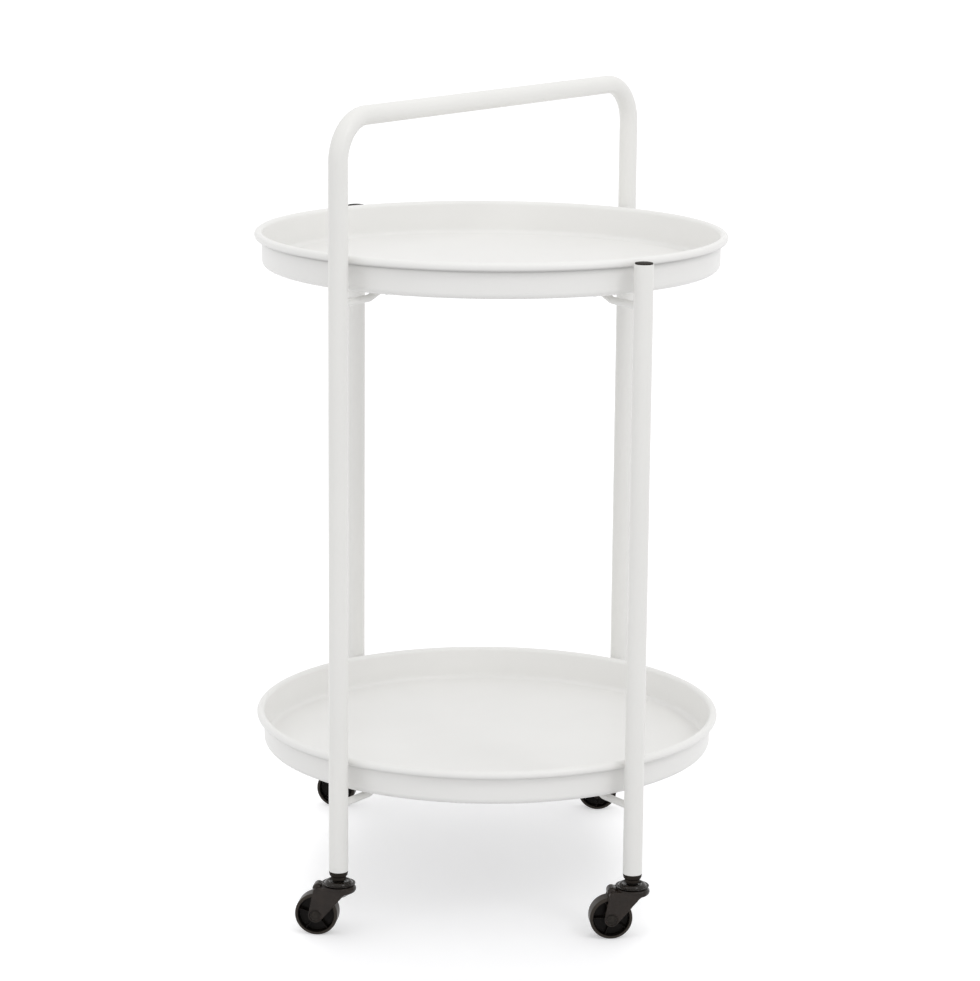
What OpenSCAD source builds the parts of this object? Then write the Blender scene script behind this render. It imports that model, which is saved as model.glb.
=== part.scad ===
// Round two-tier bar cart on four swivel casters.
// One bent tube is the front left leg, the handle and the rear right leg.
// Two straight tubes are the other legs. Rods cross under each tray and carry it.
// Origin: on the floor, under the middle of the trays. +Z is up, -Y is the front.

/* [Trays] */
// Diameter over the rolled rim
tray_d = 450; // [400:1:520]
// Height from the underside of the floor to the top of the rim
tray_h = 33.6; // [28:0.1:50]
// Thickness of the sheet
sheet_t = 0.8; // [0.6:0.1:1.2]
// Diameter of the rolled rim
rim_d = 7.8; // [6:0.1:10]
// Outer radius of the corner between floor and wall
tray_corner_r = 6; // [3:0.5:12]
// Angle through which the rim is rolled, starting at the wall
rim_roll = 305; // [240:1:310]
// Height of the lower tray's underside above the floor
lower_tray_z = 133; // [122:0.5:200]
// Height of the upper tray's underside above the floor
upper_tray_z = 601.5; // [480:0.5:640]

/* [Frame] */
// Outer diameter of the tubes
tube_d = 18; // [16:0.5:22]
// Wall of the tubes
tube_wall = 1.2; // [1:0.1:1.6]
// Height of the handle's centreline above the floor
handle_z = 759; // [720:1:850]
// Radius of the two bends of the handle, at the centreline
handle_bend_r = 40; // [30:1:60]
// Space between a tray's rim and a leg
leg_gap = 4; // [2:0.5:10]
// Angle of the legs from the front-to-back line
leg_angle = 35; // [30:1:45]
// Distance of the straight legs' upper ends below the upper tray's rim
leg_top_drop = 3.3; // [0:0.1:20]

/* [Cross rods] */
// Diameter of the rods
rod_d = 7; // [6:0.5:8]
// Depth of a rod's centreline below the tray's underside, where it meets the leg
rod_drop = 8.5; // [6:0.1:14]
// Length over which a rod climbs to the tray
rod_rise_run = 14; // [12:1:24]
// Radius of the rods' bends, at the centreline
rod_bend_r = 9; // [7:0.5:12]
// Radial thinning of a rod in its bends
rod_waist = 0.02; // [0.01:0.01:0.05]
// Space between the tray's underside and the round stretches of a rod
rod_clearance = 0.1; // [0.05:0.05:0.5]
// Thickness of the flattened eyes
eye_t = 3; // [2.5:0.1:4]
// Width of the flattened eyes
eye_w = 11; // [10:0.5:13]
// Length of the eyes near the rim
eye_l = 20; // [20:1:26]
// Length of the eyes at the crossing
cross_eye_l = 26; // [26:1:34]
// Length of straight rod between an outer eye and the next bend
eye_room = 3; // [2:0.5:6]

/* [Fasteners] */
// Diameter of the threaded studs on the trays' undersides
stud_d = 5; // [4:0.5:6]
// Distance of the outer studs from the outside of the rim
stud_inset = 60; // [50:1:80]
// Length of a stud that stands out of its nut
stud_end = 0.6; // [0.2:0.1:2]
// Outer diameter of the washers
washer_d = 10; // [9:0.5:11]
// Thickness of the washers
washer_t = 1; // [0.6:0.1:1.6]
// Width of the nuts across their corners
nut_d = 9.2; // [8.5:0.1:10]
// Height of the nuts
nut_h = 4; // [3:0.1:5]

/* [Leg caps] */
// Diameter of the cap's head
cap_d = 16.4; // [16:0.1:18]
// Height of the head's straight edge
cap_edge_h = 1.2; // [1:0.1:3]
// Height of the dome above that edge
cap_dome_h = 0.8; // [0.6:0.1:4]
// Depth of the cap's plug in the tube
cap_plug_l = 12; // [8:1:20]
// Wall of the cap's plug
cap_plug_wall = 1.4; // [1:0.1:2]

/* [Leg sockets] */
// Length of the socket inside the tube
socket_l = 28; // [25:1:36]
// Height of the tapered collar below the tube
collar_h = 4; // [2:0.1:6]
// Diameter of the collar at its lower end
collar_low_d = 16.4; // [15.4:0.1:17.5]
// Height of the collar's neck
neck_h = 4.2; // [1.5:0.1:6]
// Diameter of the collar's neck
neck_d = 14.2; // [12:0.1:15]
// Thickness of the socket's closed end
socket_end_t = 3; // [2:0.5:5]

/* [Caster stems] */
// Diameter of the stem in its socket
stem_d = 8; // [7:0.5:8.5]
// Length of the stem above its shoulder
stem_l = 31; // [26:1:32]
// Diameter of the grip ring
ring_d = 9.2; // [8.8:0.1:9.6]
// Height of the grip ring
ring_h = 1.2; // [0.8:0.1:2]
// Distance of the grip ring from the stem's upper end
ring_drop = 7; // [5:0.5:10]
// Diameter of the stem's shoulder
shoulder_d = 11; // [9:0.5:12]
// Height of the stem's shoulder
shoulder_h = 1.5; // [1:0.1:3]
// Free height between the shoulder and the socket's neck
stem_gap = 0.8; // [0.6:0.1:4]
// Diameter of the swivel pin
pin_d = 6; // [5:0.5:6.5]
// Diameter of the riveted head under the fork
pin_head_d = 10; // [8.5:0.5:11]
// Height of the riveted head
pin_head_h = 2.2; // [1.5:0.1:2.6]

/* [Caster races] */
// Diameter of the race cup
cup_d = 31.4; // [30:0.1:33]
// Thickness of the race cup's sheet
cup_t = 1.4; // [1:0.1:1.8]
// Height of the cup's middle above its rim
cup_rise = 0.8; // [0.4:0.1:1.4]
// Diameter of the bearing balls
ball_d = 3.2; // [2.6:0.1:3.4]
// Diameter of the circle on which the balls run
ball_circle_d = 20; // [19.5:0.1:20.5]
// Number of balls in each caster
ball_count = 12; // [8:1:15]
// Height between the fork's crown and the cup's rim
race_gap = 0.5; // [0.4:0.1:1]

/* [Caster forks] */
// Distance of the axle behind the swivel axis
caster_trail = 20; // [17:0.5:24]
// Height between the wheel and the fork's crown
crown_gap = 5.9; // [5.2:0.1:7]
// Thickness of the fork's crown
crown_t = 2; // [1.6:0.1:2.6]
// Diameter of the fork's crown
crown_d = 30.4; // [29:0.1:31.2]
// Radius of the round nose in front of the crown
nose_r = 3.1; // [2.8:0.1:3.4]
// Distance by which the nose stands out before the crown's edge
nose_out = 1.2; // [0.8:0.1:1.6]
// Distance of the nose's middle below the crown
nose_drop = 1.7; // [1.4:0.1:2]
// Height of the flare from its lower end to the nose's middle
flare_h = 7.6; // [6:0.1:8]
// Diameter of the flare at its lower end
flare_low_d = 14; // [13:0.5:18]
// Distance of the nose's and the flare's sides inside the cheeks' outer faces
flare_set_in = 0.2; // [0.1:0.1:1]
// Thickness of the fork's cheeks
cheek_t = 3; // [2.6:0.1:4]
// Radius of the cheeks' lower ends
cheek_end_r = 6.8; // [6.5:0.1:9]
// Distance of the cheeks' front edge before the swivel axis, at the crown
cheek_front = 7.8; // [6:0.1:8.6]
// Distance of that edge's lower end below the crown
cheek_front_h = 3.9; // [3:0.1:5]
// Thickness of the hood over the wheel
hood_t = 4.1; // [3.5:0.1:4.8]
// Diameter of the roll at the hood's rear end
roll_d = 9.4; // [8.6:0.1:10]
// Width of that roll
roll_w = 16; // [14:0.5:18]
// Radius of the roll's round ends
roll_end_r = 3.5; // [2.5:0.1:4]
// Angle of the roll above the wheel, from the front
roll_angle = 88; // [86:0.5:91]
// Distance of the roll's middle under the hood's surface
roll_sink = 1; // [0.6:0.1:1.4]
// Angle of the hood's rear end above the wheel, from the front
hood_end = 94; // [92:0.5:105]
// Angle of the hood's front end
hood_front = 60; // [50:1:70]
// Diameter of the recess round the axle's head
recess_d = 11.2; // [9.8:0.1:12]
// Depth of that recess
recess_h = 1.8; // [1.3:0.1:2]

/* [Caster wheels] */
// Diameter of the wheels
wheel_d = 40; // [36:0.5:50]
// Width of the wheels at the tread
wheel_w = 17; // [14:0.5:20]
// Radial thickness of the wheel's rim
wheel_rim_t = 3.3; // [2.5:0.1:4.5]
// Radius of the tread's rounded edges
tread_edge_r = 2; // [1:0.1:2.4]
// Thickness of the wheel's web
web_t = 5; // [3:0.5:7]
// Diameter of the wheel's hub
hub_d = 12; // [9:0.5:14]
// Distance by which the hub's ends stand out beyond the tread's sides
hub_proud = 0.2; // [0.1:0.1:1]
// Number of ribs on the web
rib_count = 5; // [3:1:8]
// Angle of the first rib from the front, in degrees
rib_start = 36; // [0:1:72]
// Thickness of the ribs
rib_t = 1.2; // [0.8:0.1:2]
// Depth of the ribs' edges below the side of the rim
rib_set_in = 1.5; // [0.5:0.1:3]
// Diameter of the axle
axle_d = 5; // [4:0.5:6]
// Diameter of the axle's heads
axle_head_d = 8.4; // [7.5:0.1:9]
// Height of the axle's heads
axle_head_h = 1.2; // [0.8:0.1:1.2]

/* [Caster directions] */
// Direction of the front left caster, in degrees
front_left_turn = -7; // [-180:1:180]
// Direction of the front right caster, in degrees
front_right_turn = 5; // [-180:1:180]
// Direction of the rear left caster, in degrees
rear_left_turn = -8; // [-180:1:180]
// Direction of the rear right caster, in degrees
rear_right_turn = -4; // [-180:1:180]

/* [Fits] */
// Radial clearance of plugs in the tubes
plug_clearance = 0.05; // [0.02:0.01:0.1]
// Radial clearance of the stems in their sockets
stem_clearance = 0.05; // [0.02:0.01:0.1]
// Radial clearance of the stems' ends in the cups and of the axles in the forks
seat_clearance = 0.02; // [0.01:0.01:0.05]
// Radial clearance of the fork on its pin and of the wheel on its axle
running_clearance = 0.05; // [0.02:0.01:0.1]
// Space along the axis between a moving piece and its neighbour
end_clearance = 0.3; // [0.2:0.05:0.6]
// Radial space between a bearing ball and the fork's groove
ball_clearance = 0.3; // [0.2:0.05:0.4]
// Space between the wheel and the hood
hood_clearance = 1.5; // [1:0.1:2.5]
// Radial clearance of the washers and nuts on the studs
thread_clearance = 0.05; // [0.02:0.01:0.1]
// Radial clearance of the studs in the eyes
eye_clearance = 0.2; // [0.1:0.05:0.4]

/* [Hidden] */
// Facets of small circles
$fn = 64;
// Facets of the trays
tray_fn = 160;
// Depth by which cuts run past the surface that they open
cut = 1;
// Length by which a rod runs into its eye
eye_lap = 2;
// Angle by which a thinned bend runs into the straights beside it
bend_lap = 1;

rim_r = rim_d / 2;
tray_r = tray_d / 2;
wall_r = tray_r - rim_d + sheet_t;
rim_centre_r = tray_r - rim_r;
rim_centre_h = tray_h - rim_r;

tube_r = tube_d / 2;
bore_r = tube_r - tube_wall;
plug_r = bore_r - plug_clearance;
leg_r = tray_r + leg_gap + tube_r;
diagonal = 90 - leg_angle;
leg_top_z = upper_tray_z + tray_h - leg_top_drop;

rod_r = rod_d / 2;
rod_high = -rod_clearance - rod_r;
stud_r = tray_r - stud_inset;
rise_end = stud_r + eye_l / 2 + eye_room;

wheel_r = wheel_d / 2;
crown_z = wheel_d + crown_gap;
crown_top_z = crown_z + crown_t;
cup_z = crown_top_z + race_gap;
ball_r = ball_d / 2;
ball_circle_r = ball_circle_d / 2;
ball_z = cup_z + ball_r / 2;
cup_hub_z = cup_z + cup_rise;
shoulder_z = cup_hub_z + cup_t;
stem_z = shoulder_z + shoulder_h;
neck_z = stem_z + stem_gap;
collar_z = neck_z + neck_h;
leg_bottom_z = collar_z + collar_h;
ring_z = stem_z + stem_l - ring_drop;

cheek_in = wheel_w / 2 + hub_proud + end_clearance;
cheek_out = cheek_in + cheek_t;
hub_half_w = cheek_in - end_clearance;
hood_in_r = wheel_r + hood_clearance;
hood_out_r = hood_in_r + hood_t;

// Direction from one point of a flat path to the next, in degrees
function heading(a, b) = atan2(b[1] - a[1], b[0] - a[0]);

// Turn of a path at one of its inner points, in degrees, positive to the left
function turn_at(path, i) =
    let (turn = heading(path[i], path[i + 1]) - heading(path[i - 1], path[i]))
    turn - 360 * round(turn / 360);

// Length that the bend at a point takes from the straights beside it
function setback(path, i, bend_r) =
    i == 0 || i == len(path) - 1 ? 0 : bend_r * tan(abs(turn_at(path, i)) / 2);

// Angle of the tangent point on a circle, seen from its centre, for a line from an outer point
function tangent_angle(centre, r, point, side) =
    heading(centre, point) + side * acos(r / norm(point - centre));

// Point at an angle and a distance from a centre
function polar(centre, r, angle) = centre + r * [cos(angle), sin(angle)];

// Round bar along a flat path, straight between the points and bent round the inner ones.
// A bar with a waist is that much thinner in its bends, which then run a little into the straights.
module bent_bar(path, bend_r, bar_r, waist = 0) {
    lap = waist > 0 ? bend_lap : 0;
    for (i = [0 : len(path) - 2]) {
        start = setback(path, i, bend_r);
        run = norm(path[i + 1] - path[i]) - start - setback(path, i + 1, bend_r);
        translate([path[i][0], path[i][1], 0])
            rotate([0, 0, heading(path[i], path[i + 1])])
                translate([start, 0, 0])
                    rotate([0, 90, 0])
                        cylinder(r = bar_r, h = run);
    }
    if (len(path) > 2) {
        for (i = [1 : len(path) - 2]) {
            turn = turn_at(path, i);
            side = sign(turn);
            translate([path[i][0], path[i][1], 0])
                rotate([0, 0, heading(path[i - 1], path[i])])
                    translate([-setback(path, i, bend_r), side * bend_r, 0])
                        rotate([0, 0, (turn > 0 ? -90 : 90 + turn) - lap])
                            rotate_extrude(angle = abs(turn) + 2 * lap)
                                translate([bend_r, 0])
                                    circle(r = bar_r - waist);
        }
    }
}

// Puts a shape drawn along X and Y into the upright plane through two opposite legs
module in_leg_plane(side) {
    rotate([0, 0, side * diagonal])
        rotate([90, 0, 0])
            children();
}

// Puts a shape at one straight leg: side 1 is front right, side -1 is rear left
module at_straight_leg(side) {
    rotate([0, 0, -diagonal])
        translate([side * leg_r, 0, 0])
            children();
}

// Tube from the front left caster up, across as the handle and down to the rear right caster
module handle_frame() {
    color("white")
        in_leg_plane(1)
            difference() {
                bent_bar([[-leg_r, leg_bottom_z], [-leg_r, handle_z],
                    [leg_r, handle_z], [leg_r, leg_bottom_z]], handle_bend_r, tube_r);
                bent_bar([[-leg_r, leg_bottom_z - cut], [-leg_r, handle_z],
                    [leg_r, handle_z], [leg_r, leg_bottom_z - cut]], handle_bend_r, bore_r);
            }
}

module straight_leg(side) {
    color("white")
        at_straight_leg(side)
            translate([0, 0, leg_bottom_z])
                difference() {
                    cylinder(r = tube_r, h = leg_top_z - leg_bottom_z);
                    translate([0, 0, -cut])
                        cylinder(r = bore_r, h = leg_top_z - leg_bottom_z + 2 * cut);
                }
}

// Domed cap with a hollow plug that sits in the upper end of a straight leg
module leg_cap(side) {
    cap_r = cap_d / 2;
    dome_r = (cap_r * cap_r + cap_dome_h * cap_dome_h) / (2 * cap_dome_h);
    color([0.07, 0.07, 0.07])
        at_straight_leg(side)
            translate([0, 0, leg_top_z]) {
                difference() {
                    translate([0, 0, -cap_plug_l])
                        cylinder(r = plug_r, h = cap_plug_l + cap_edge_h / 2);
                    translate([0, 0, -cap_plug_l - cut])
                        cylinder(r = plug_r - cap_plug_wall, h = cap_plug_l + cut);
                }
                intersection() {
                    cylinder(r = cap_r, h = cap_edge_h + cap_dome_h);
                    translate([0, 0, cap_edge_h + cap_dome_h - dome_r])
                        rotate([90, 0, 0])
                            sphere(r = dome_r, $fn = 128);
                }
            }
}

// Cross-section of a tray: floor, rounded corner, wall and the rim rolled outwards
module tray_section() {
    corner_in_r = tray_corner_r - sheet_t;
    roll_end = 180 - rim_roll;
    reach = 2 * rim_d;
    square([wall_r - tray_corner_r, sheet_t]);
    translate([wall_r - sheet_t, tray_corner_r])
        square([sheet_t, rim_centre_h - tray_corner_r]);
    intersection() {
        translate([wall_r - tray_corner_r, tray_corner_r])
            difference() {
                circle(r = tray_corner_r);
                circle(r = corner_in_r);
            }
        translate([wall_r - tray_corner_r, 0])
            square(tray_corner_r);
    }
    translate([rim_centre_r, rim_centre_h])
        difference() {
            circle(r = rim_r);
            circle(r = rim_r - sheet_t);
            polygon([[0, 0], polar([0, 0], reach, 180),
                polar([0, 0], reach, roll_end / 2 - 90), polar([0, 0], reach, roll_end)]);
        }
}

module tray(z) {
    color("white")
        translate([0, 0, z])
            rotate_extrude($fn = tray_fn)
                tray_section();
}

// Flattened eye with its stud hole, its upper face at height 0
module eye(length) {
    translate([0, 0, -eye_t])
        linear_extrude(eye_t)
            difference() {
                union() {
                    square([length - eye_w, eye_w], center = true);
                    for (side = [-1, 1])
                        translate([side * (length - eye_w) / 2, 0])
                            circle(r = eye_w / 2);
                }
                circle(r = stud_d / 2 + eye_clearance);
            }
}

// Cross rod from leg to leg. Height 0 is the tray's underside.
// dip is the depth of the crossing eye's upper face, so that two rods can cross.
module cross_rod(dip) {
    color("white")
        difference() {
            union() {
                for (half = [0, 180])
                    rotate([90, 0, half]) {
                        bent_bar([[leg_r, -rod_drop], [rise_end + rod_rise_run, -rod_drop],
                            [rise_end, rod_high], [stud_r + eye_l / 2 - eye_lap, rod_high]],
                            rod_bend_r, rod_r, rod_waist);
                        inner_run(dip);
                    }
                for (x = [-stud_r, stud_r])
                    translate([x, 0, 0])
                        eye(eye_l);
                translate([0, 0, -dip])
                    eye(cross_eye_l);
            }
            for (x = [-leg_r, leg_r])
                translate([x, 0, -2 * rod_drop])
                    cylinder(r = tube_r, h = 2 * rod_drop + cut);
        }
}

// Stretch of a rod between the crossing eye and an outer eye
module inner_run(dip) {
    outer_x = stud_r - eye_l / 2 + eye_lap;
    inner_x = cross_eye_l / 2 - eye_lap;
    dip_x = outer_x - eye_lap - eye_room;
    bent_bar(dip > 0
        ? [[outer_x, rod_high], [dip_x, rod_high],
            [dip_x - rod_rise_run, rod_high - dip], [inner_x, rod_high - dip]]
        : [[outer_x, rod_high], [inner_x, rod_high]],
        rod_bend_r, rod_r, rod_waist);
}

module handle_side_rod(z) {
    translate([0, 0, z])
        rotate([0, 0, diagonal])
            cross_rod(0);
}

module straight_side_rod(z) {
    translate([0, 0, z])
        rotate([0, 0, -diagonal])
            cross_rod(eye_t);
}

// Repeats a shape at the four outer studs of a tray
module at_outer_studs() {
    for (side = [-1, 1])
        for (x = [-stud_r, stud_r])
            rotate([0, 0, side * diagonal])
                translate([x, 0, 0])
                    children();
}

// Studs on a tray's underside. The middle one passes two eyes.
module tray_studs(z) {
    length = eye_t + washer_t + nut_h + stud_end;
    color("silver")
        translate([0, 0, z]) {
            at_outer_studs()
                translate([0, 0, -length])
                    cylinder(r = stud_d / 2, h = length);
            translate([0, 0, -length - eye_t])
                cylinder(r = stud_d / 2, h = length + eye_t);
        }
}

// Ring with a round hole, its upper face at height 0, as a washer or as a nut
module fastener(outer_d, height, sides) {
    translate([0, 0, -height])
        difference() {
            cylinder(r = outer_d / 2, h = height, $fn = sides);
            translate([0, 0, -cut])
                cylinder(r = stud_d / 2 + thread_clearance, h = height + 2 * cut);
        }
}

module tray_washers(z) {
    color("silver")
        translate([0, 0, z - eye_t]) {
            at_outer_studs()
                fastener(washer_d, washer_t, $fn);
            translate([0, 0, -eye_t])
                fastener(washer_d, washer_t, $fn);
        }
}

module tray_nuts(z) {
    color("silver")
        translate([0, 0, z - eye_t - washer_t]) {
            at_outer_studs()
                fastener(nut_d, nut_h, 6);
            translate([0, 0, -eye_t])
                fastener(nut_d, nut_h, 6);
        }
}

// Puts a caster piece under its leg and turns it about the swivel axis
module at_caster(side_x, side_y, turn) {
    translate([side_x * leg_r * sin(leg_angle), side_y * leg_r * cos(leg_angle), 0])
        rotate([0, 0, turn])
            children();
}

module at_front_left() {
    at_caster(-1, -1, front_left_turn)
        children();
}

module at_front_right() {
    at_caster(1, -1, front_right_turn)
        children();
}

module at_rear_left() {
    at_caster(-1, 1, rear_left_turn)
        children();
}

module at_rear_right() {
    at_caster(1, 1, rear_right_turn)
        children();
}

// Plastic socket in the end of a leg, with the collar and neck that show below it
module socket() {
    hole_r = stem_d / 2 + stem_clearance;
    color([0.09, 0.09, 0.09])
        difference() {
            union() {
                translate([0, 0, neck_z])
                    cylinder(r = neck_d / 2, h = neck_h);
                translate([0, 0, collar_z])
                    cylinder(r1 = collar_low_d / 2, r2 = tube_r, h = collar_h);
                translate([0, 0, leg_bottom_z])
                    cylinder(r = plug_r, h = socket_l);
            }
            translate([0, 0, neck_z - cut])
                cylinder(r = hole_r, h = leg_bottom_z + socket_l - socket_end_t - neck_z + cut);
            translate([0, 0, ring_z - ring_h])
                cylinder(r = ring_d / 2 + stem_clearance, h = 2 * ring_h);
        }
}

// Stem: riveted head, swivel pin, shoulder on the cup, and the shank with its grip ring
module stem() {
    head_z = crown_z - end_clearance - pin_head_h;
    color("dimgray") {
        translate([0, 0, head_z])
            cylinder(r = pin_head_d / 2, h = pin_head_h);
        translate([0, 0, head_z])
            cylinder(r = pin_d / 2, h = stem_z - head_z);
        translate([0, 0, shoulder_z])
            cylinder(r = shoulder_d / 2, h = shoulder_h);
        translate([0, 0, stem_z])
            cylinder(r = stem_d / 2, h = stem_l);
        translate([0, 0, ring_z - ring_h / 2])
            cylinder(r = ring_d / 2, h = ring_h);
    }
}

// Dished cup, fixed to the stem, that holds the balls down on the fork
module race_cup() {
    groove_r = ball_r + seat_clearance;
    edge_r = cup_t / 2;
    color([0.12, 0.12, 0.12])
        rotate_extrude()
            difference() {
                union() {
                    translate([pin_d / 2 + seat_clearance, cup_hub_z])
                        square([ball_circle_r - ball_r - pin_d / 2 - seat_clearance, cup_t]);
                    intersection() {
                        translate([ball_circle_r, ball_z])
                            circle(r = groove_r + cup_t);
                        translate([0, cup_z])
                            square([cup_d, cup_d]);
                    }
                    translate([ball_circle_r + ball_r, cup_z])
                        square([cup_d / 2 - edge_r - ball_circle_r - ball_r, cup_t]);
                    translate([cup_d / 2 - edge_r, cup_z + edge_r])
                        circle(r = edge_r);
                }
                translate([ball_circle_r, ball_z])
                    circle(r = groove_r);
            }
}

module balls() {
    color("silver")
        for (i = [0 : ball_count - 1])
            rotate([0, 0, i * 360 / ball_count])
                translate([ball_circle_r, 0, ball_z])
                    sphere(r = ball_r, $fn = 32);
}

// Outline of a fork cheek in the plane of the wheel, x to the front and y up
module cheek_outline() {
    axle = [-caster_trail, wheel_r];
    rear = polar(axle, hood_out_r, hood_end);
    front = [cheek_front, crown_z - cheek_front_h];
    rear_foot = polar(axle, cheek_end_r, tangent_angle(axle, cheek_end_r, rear, 1));
    front_foot = polar(axle, cheek_end_r, tangent_angle(axle, cheek_end_r, front, -1));
    crown_lap_z = crown_z + crown_t / 4;
    translate(axle)
        circle(r = cheek_end_r);
    polygon([axle, [-caster_trail, crown_lap_z], [cheek_front, crown_lap_z], front, front_foot]);
    intersection() {
        translate(axle)
            circle(r = hood_out_r);
        polygon([axle, rear_foot, 2 * rear - rear_foot, polar(axle, 2 * hood_out_r, hood_front)]);
    }
}

// Roll across the hood's rear end, a bar with rounded ends
module hood_roll() {
    middle = polar([-caster_trail, wheel_r], hood_out_r - roll_sink, roll_angle);
    end_x = roll_d / 2 - roll_end_r;
    end_y = roll_w / 2 - roll_end_r;
    translate([middle[0], 0, middle[1]])
        rotate([90, 0, 0])
            rotate_extrude()
                for (side = [0, 1])
                    mirror([0, side]) {
                        square([roll_d / 2, end_y]);
                        square([end_x, roll_w / 2]);
                        translate([end_x, end_y])
                            intersection() {
                                circle(r = roll_end_r);
                                square(roll_end_r + cut);
                            }
                    }
}

// Extrudes an outline of the wheel's plane between two distances to the left or the right
module across(from, to) {
    rotate([90, 0, 0])
        translate([0, 0, from])
            linear_extrude(to - from)
                children();
}

// Fork: crown with its ball groove, nose and flare under it, and a body cut out
// for the wheel, which leaves two cheeks, the hood with its roll, and a web in front
module fork() {
    edge_r = crown_t / 2;
    nose_x = crown_d / 2 + nose_out - nose_r;
    nose_z = crown_z - nose_drop;
    hole_r = pin_d / 2 + running_clearance;
    color([0.1, 0.1, 0.1])
        difference() {
            union() {
                rotate_extrude() {
                    translate([0, crown_z])
                        square([crown_d / 2 - edge_r, crown_t]);
                    translate([crown_d / 2 - edge_r, crown_z + edge_r])
                        circle(r = edge_r);
                }
                intersection() {
                    rotate_extrude() {
                        translate([nose_x, nose_z])
                            circle(r = nose_r);
                        polygon([
                            [0, nose_z - flare_h],
                            [flare_low_d / 2, nose_z - flare_h],
                            [nose_x + 0.6 * nose_r, nose_z - 0.6 * nose_r],
                            [nose_x, nose_z],
                            [nose_x, crown_z + edge_r],
                            [0, crown_z + edge_r]
                        ]);
                    }
                    translate([0, 0, crown_z])
                        cube([2 * crown_d, 2 * (cheek_out - flare_set_in), 3 * flare_h], center = true);
                }
                hood_roll();
                across(-cheek_out, cheek_out)
                    cheek_outline();
            }
            across(-cheek_in, cheek_in)
                translate([-caster_trail, wheel_r])
                    circle(r = hood_in_r);
            cylinder(r = hole_r, h = crown_top_z + cut);
            translate([0, 0, crown_top_z + race_gap / 4])
                cylinder(r = cup_d / 2 + 2 * end_clearance, h = roll_d);
            translate([0, 0, wheel_r])
                cylinder(r = pin_head_d / 2 + 2 * end_clearance, h = crown_z - wheel_r);
            rotate_extrude()
                translate([ball_circle_r, ball_z])
                    circle(r = ball_r + ball_clearance);
            at_axle(2 * cheek_out + 2 * cut, axle_d / 2 + seat_clearance);
            for (side = [-1, 1])
                translate([-caster_trail, side * (cheek_out - recess_h / 2 + cut / 2), wheel_r])
                    rotate([90, 0, 0])
                        cylinder(r = recess_d / 2, h = recess_h + cut, center = true);
        }
}

// Round bar of a given length, centred on the axle
module at_axle(length, r) {
    translate([-caster_trail, 0, wheel_r])
        rotate([90, 0, 0])
            cylinder(r = r, h = length, center = true);
}

// Axle rivet, with a head in each cheek's recess
module axle() {
    head_in = cheek_out - recess_h;
    color("silver") {
        at_axle(2 * head_in, axle_d / 2);
        for (side = [-1, 1])
            translate([-caster_trail, side * (head_in + axle_head_h / 2), wheel_r])
                rotate([90, 0, 0])
                    cylinder(r = axle_head_d / 2, h = axle_head_h, center = true);
    }
}

// Wheel: rim with rounded tread edges, web with ribs on both sides, and the hub
module wheel() {
    rim_in_r = wheel_r - wheel_rim_t;
    edge_x = wheel_r - tread_edge_r;
    edge_y = wheel_w / 2 - tread_edge_r;
    rib_half_w = wheel_w / 2 - rib_set_in;
    color([0.05, 0.05, 0.05])
        translate([-caster_trail, 0, wheel_r])
            rotate([90, 0, 0])
                difference() {
                    union() {
                        rotate_extrude($fn = 128) {
                            translate([rim_in_r, -edge_y])
                                square([wheel_rim_t, 2 * edge_y]);
                            translate([rim_in_r, -wheel_w / 2])
                                square([edge_x - rim_in_r, wheel_w]);
                            for (side = [-1, 1])
                                translate([edge_x, side * edge_y])
                                    circle(r = tread_edge_r);
                            translate([0, -web_t / 2])
                                square([rim_in_r + cut, web_t]);
                            translate([0, -hub_half_w])
                                square([hub_d / 2, 2 * hub_half_w]);
                        }
                        for (i = [0 : rib_count - 1])
                            rotate([0, 0, rib_start + i * 360 / rib_count])
                                translate([0, -rib_t / 2, -rib_half_w])
                                    cube([rim_in_r + cut, rib_t, 2 * rib_half_w]);
                    }
                    cylinder(r = axle_d / 2 + running_clearance, h = 2 * wheel_w, center = true);
                }
}

handle_frame();
straight_leg(1);  // front_right_leg
straight_leg(-1);  // rear_left_leg
leg_cap(1);  // front_right_leg_cap
leg_cap(-1);  // rear_left_leg_cap
tray(upper_tray_z);  // upper_tray
tray(lower_tray_z);  // lower_tray
handle_side_rod(upper_tray_z);  // upper_handle_side_rod
handle_side_rod(lower_tray_z);  // lower_handle_side_rod
straight_side_rod(upper_tray_z);  // upper_straight_side_rod
straight_side_rod(lower_tray_z);  // lower_straight_side_rod
tray_studs(upper_tray_z);  // upper_tray_studs
tray_studs(lower_tray_z);  // lower_tray_studs
tray_washers(upper_tray_z);  // upper_tray_washers
tray_washers(lower_tray_z);  // lower_tray_washers
tray_nuts(upper_tray_z);  // upper_tray_nuts
tray_nuts(lower_tray_z);  // lower_tray_nuts
at_front_left() socket();  // front_left_socket
at_front_right() socket();  // front_right_socket
at_rear_left() socket();  // rear_left_socket
at_rear_right() socket();  // rear_right_socket
at_front_left() stem();  // front_left_stem
at_front_right() stem();  // front_right_stem
at_rear_left() stem();  // rear_left_stem
at_rear_right() stem();  // rear_right_stem
at_front_left() race_cup();  // front_left_race_cup
at_front_right() race_cup();  // front_right_race_cup
at_rear_left() race_cup();  // rear_left_race_cup
at_rear_right() race_cup();  // rear_right_race_cup
at_front_left() balls();  // front_left_balls
at_front_right() balls();  // front_right_balls
at_rear_left() balls();  // rear_left_balls
at_rear_right() balls();  // rear_right_balls
at_front_left() fork();  // front_left_fork
at_front_right() fork();  // front_right_fork
at_rear_left() fork();  // rear_left_fork
at_rear_right() fork();  // rear_right_fork
at_front_left() axle();  // front_left_axle
at_front_right() axle();  // front_right_axle
at_rear_left() axle();  // rear_left_axle
at_rear_right() axle();  // rear_right_axle
at_front_left() wheel();  // front_left_wheel
at_front_right() wheel();  // front_right_wheel
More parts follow.
